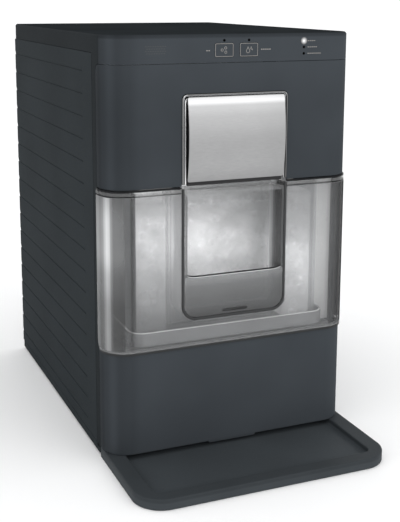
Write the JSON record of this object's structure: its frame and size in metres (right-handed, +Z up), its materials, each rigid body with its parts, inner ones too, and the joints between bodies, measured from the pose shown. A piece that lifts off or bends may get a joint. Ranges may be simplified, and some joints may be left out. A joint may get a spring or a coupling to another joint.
{
  "type": "ice maker",
  "caption": "Countertop nugget ice maker: charcoal box with a clear pull-out ice drawer, a steel-handled scoop docked in its front, a lift-up fill lid and a drip tray.",
  "frame": {"origin": "bottom centre of the whole object's box, on the surface it stands on", "axes": "+Z up, -Y towards the front where the tray reaches out, +X to the right seen from the front"},
  "size_m": [0.253, 0.442, 0.4],
  "materials": {
    "shell_charcoal": "satin moulded plastic, fine texture",
    "lid_dark": "satin moulded plastic",
    "black_plastic": "matt black plastic",
    "smoky_clear": "clear smoke-tinted plastic",
    "white_plastic": "white moulded plastic",
    "brushed_face": "fine horizontal brushing",
    "machined_steel": "turned",
    "fin_aluminium": "mill finish fins",
    "copper_pipe": "drawn copper",
    "black_rubber": "soft rubber",
    "circuit_board": "coated board",
    "enamelled_shell": "black enamel"
  },
  "bodies": {
    "housing": {"base_pan": "shell_charcoal", "left_side_panel": "shell_charcoal", "right_side_panel": "shell_charcoal", "rear_panel": "shell_charcoal", "front_shell": "shell_charcoal", "top_cover": "shell_charcoal", "fill_deck": "lid_dark", "gear_case": "lid_dark", "gear_case_cover": "lid_dark", "handle_recess": "black_plastic", "bin_full_sensor": "black_plastic", "fan_shroud": "black_plastic", "water_pump": "black_plastic", "light_guide": "smoky_clear", "fill_pipe": "smoky_clear", "pump_hose": "smoky_clear", "drain_spout": "smoky_clear", "bin_lamp": "white_plastic", "bin_deck": "white_plastic", "water_tank": "white_plastic", "rear_partition": "white_plastic", "ice_chute": "white_plastic", "float_stem": "white_plastic", "handle_trim": "brushed_face", "lid_hinge_pin": "machined_steel", "left_drawer_rail": "machined_steel", "right_drawer_rail": "machined_steel", "freezing_cylinder": "machined_steel", "drive_motor": "machined_steel", "fan_motor": "machined_steel", "condenser_fins": "fin_aluminium", "cooling_coil": "copper_pipe", "discharge_pipe": "copper_pipe", "front_left_foot": "black_rubber", "front_right_foot": "black_rubber", "rear_left_foot": "black_rubber", "rear_right_foot": "black_rubber", "cord_gland": "black_rubber", "control_board": "circuit_board", "main_board": "circuit_board", "compressor": "enamelled_shell", "compressor_base": "enamelled_shell"},
    "drawer": {"drawer_window": "smoky_clear", "scoop_dock": "smoky_clear", "dock_gasket": "black_rubber", "ice_bin": "smoky_clear", "drawer_base": "smoky_clear"},
    "scoop": {"scoop_bowl": "smoky_clear", "scoop_handle_plate": "brushed_face", "scoop_handle_core": "black_plastic"},
    "tray": {"drip_tray": "shell_charcoal"},
    "ice_button": {"ice_key": "shell_charcoal"},
    "clean_button": {"clean_key": "shell_charcoal"},
    "lid": {"fill_lid": "lid_dark"},
    "fan": {"fan_rotor": "black_plastic"},
    "auger_drive": {"auger": "machined_steel", "drive_gear": "white_plastic"},
    "pinion": {"motor_pinion": "machined_steel"},
    "float": {"level_float": "black_plastic"},
    "plug": {"drain_plug": "black_rubber"}
  },
  "joints": [
    {"name": "drawer_slide", "type": "slide", "parent": "housing", "child": "drawer", "axis": [0, -1, 0], "range_m": [0, 0.15]},
    {"name": "scoop_slide", "type": "slide", "parent": "drawer", "child": "scoop", "axis": [0, -1, 0], "range_m": [0, 0.1]},
    {"name": "tray_slide", "type": "slide", "parent": "housing", "child": "tray", "axis": [0, -1, 0], "range_m": [0, 0.06]},
    {"name": "ice_key_press", "type": "slide", "parent": "housing", "child": "ice_button", "axis": [0, 1, 0], "range_m": [0, 0.0008], "stiffness_N_per_m": 600},
    {"name": "clean_key_press", "type": "slide", "parent": "housing", "child": "clean_button", "axis": [0, 1, 0], "range_m": [0, 0.0008], "stiffness_N_per_m": 600},
    {"name": "lid_hinge", "type": "hinge", "parent": "housing", "child": "lid", "pos_m": [0, 0.2125, 0.3977], "axis": [-1, 0, 0], "range_deg": [0, 80]},
    {"name": "fan_spin", "type": "hinge", "parent": "housing", "child": "fan", "pos_m": [0.069, 0.175, 0.085], "axis": [0, 1, 0], "continuous": true},
    {"name": "auger_spin", "type": "hinge", "parent": "housing", "child": "auger_drive", "pos_m": [0.02, 0.112, 0.155], "axis": [0, 0, 1], "continuous": true},
    {"name": "pinion_spin", "type": "hinge", "parent": "housing", "child": "pinion", "pos_m": [0.0525, 0.112, 0.155], "axis": [0, 0, 1], "continuous": true},
    {"name": "float_slide", "type": "slide", "parent": "housing", "child": "float", "axis": [0, 0, 1], "range_m": [0, 0.048]},
    {"name": "drain_plug_slide", "type": "slide", "parent": "housing", "child": "plug", "axis": [0, 1, 0], "range_m": [0, 0.03]}
  ],
  "couplings": [
    {"joint": "pinion_spin", "follows": "auger_spin", "ratio": -3}
  ]
}
